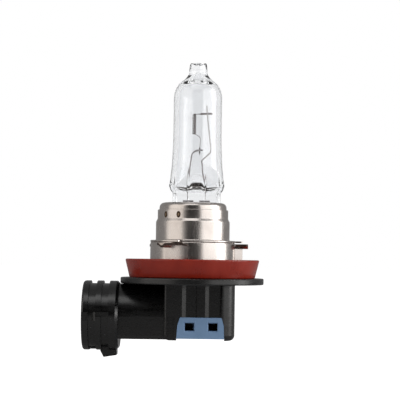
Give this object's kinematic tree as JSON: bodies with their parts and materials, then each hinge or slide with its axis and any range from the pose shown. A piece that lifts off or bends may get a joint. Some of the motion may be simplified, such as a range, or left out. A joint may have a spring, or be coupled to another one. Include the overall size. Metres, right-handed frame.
{
  "type": "headlight bulb",
  "caption": "Halogen headlight bulb with a quartz burner, a stepped metal bayonet cap, a red sealing ring and a right-angle plug socket.",
  "frame": {"origin": "on the axis of the bayonet ring, in the reference plane, which is the underside of the beads on the lugs", "axes": "+Z along the ring's axis towards the bulb's tip; the connector opens towards -X; the front slots and the cover's windows face -Y"},
  "size_m": [0.0403, 0.0322, 0.0665],
  "materials": {
    "quartz": "clear, fire polished",
    "tungsten": "drawn, slightly oxidised",
    "molybdenum": "drawn",
    "nickel_steel": "satin, drawn sheet",
    "weld": "heat tinted",
    "red_silicone": "smooth, slight sheen",
    "black_plastic": "semi-matt moulded",
    "blue_plastic": "matt moulded",
    "tinned_brass": "tin plated",
    "sealing_compound": "cured, dull"
  },
  "bodies": {
    "lamp": {"quartz_bulb": "quartz", "filament": "tungsten", "upper_leg_sleeve": "tungsten", "lower_leg_sleeve": "tungsten", "long_support_wire": "molybdenum", "short_support_wire": "molybdenum", "foil_front": "molybdenum", "foil_rear": "molybdenum", "lead_front": "molybdenum", "lead_rear": "molybdenum", "pinch_clip": "nickel_steel", "burner_cup": "nickel_steel", "cap_sleeve": "nickel_steel", "weld_spots": "weld", "bayonet_ring": "nickel_steel", "seal_ring": "red_silicone", "base_housing": "black_plastic", "lead_seals": "sealing_compound", "terminal_front": "tinned_brass", "terminal_rear": "tinned_brass"},
    "cover": {"terminal_cover": "blue_plastic"}
  },
  "joints": [
    {"name": "cover_slide", "type": "slide", "parent": "lamp", "child": "cover", "axis": [0, 0, -1], "range_m": [0, 0.007]}
  ]
}
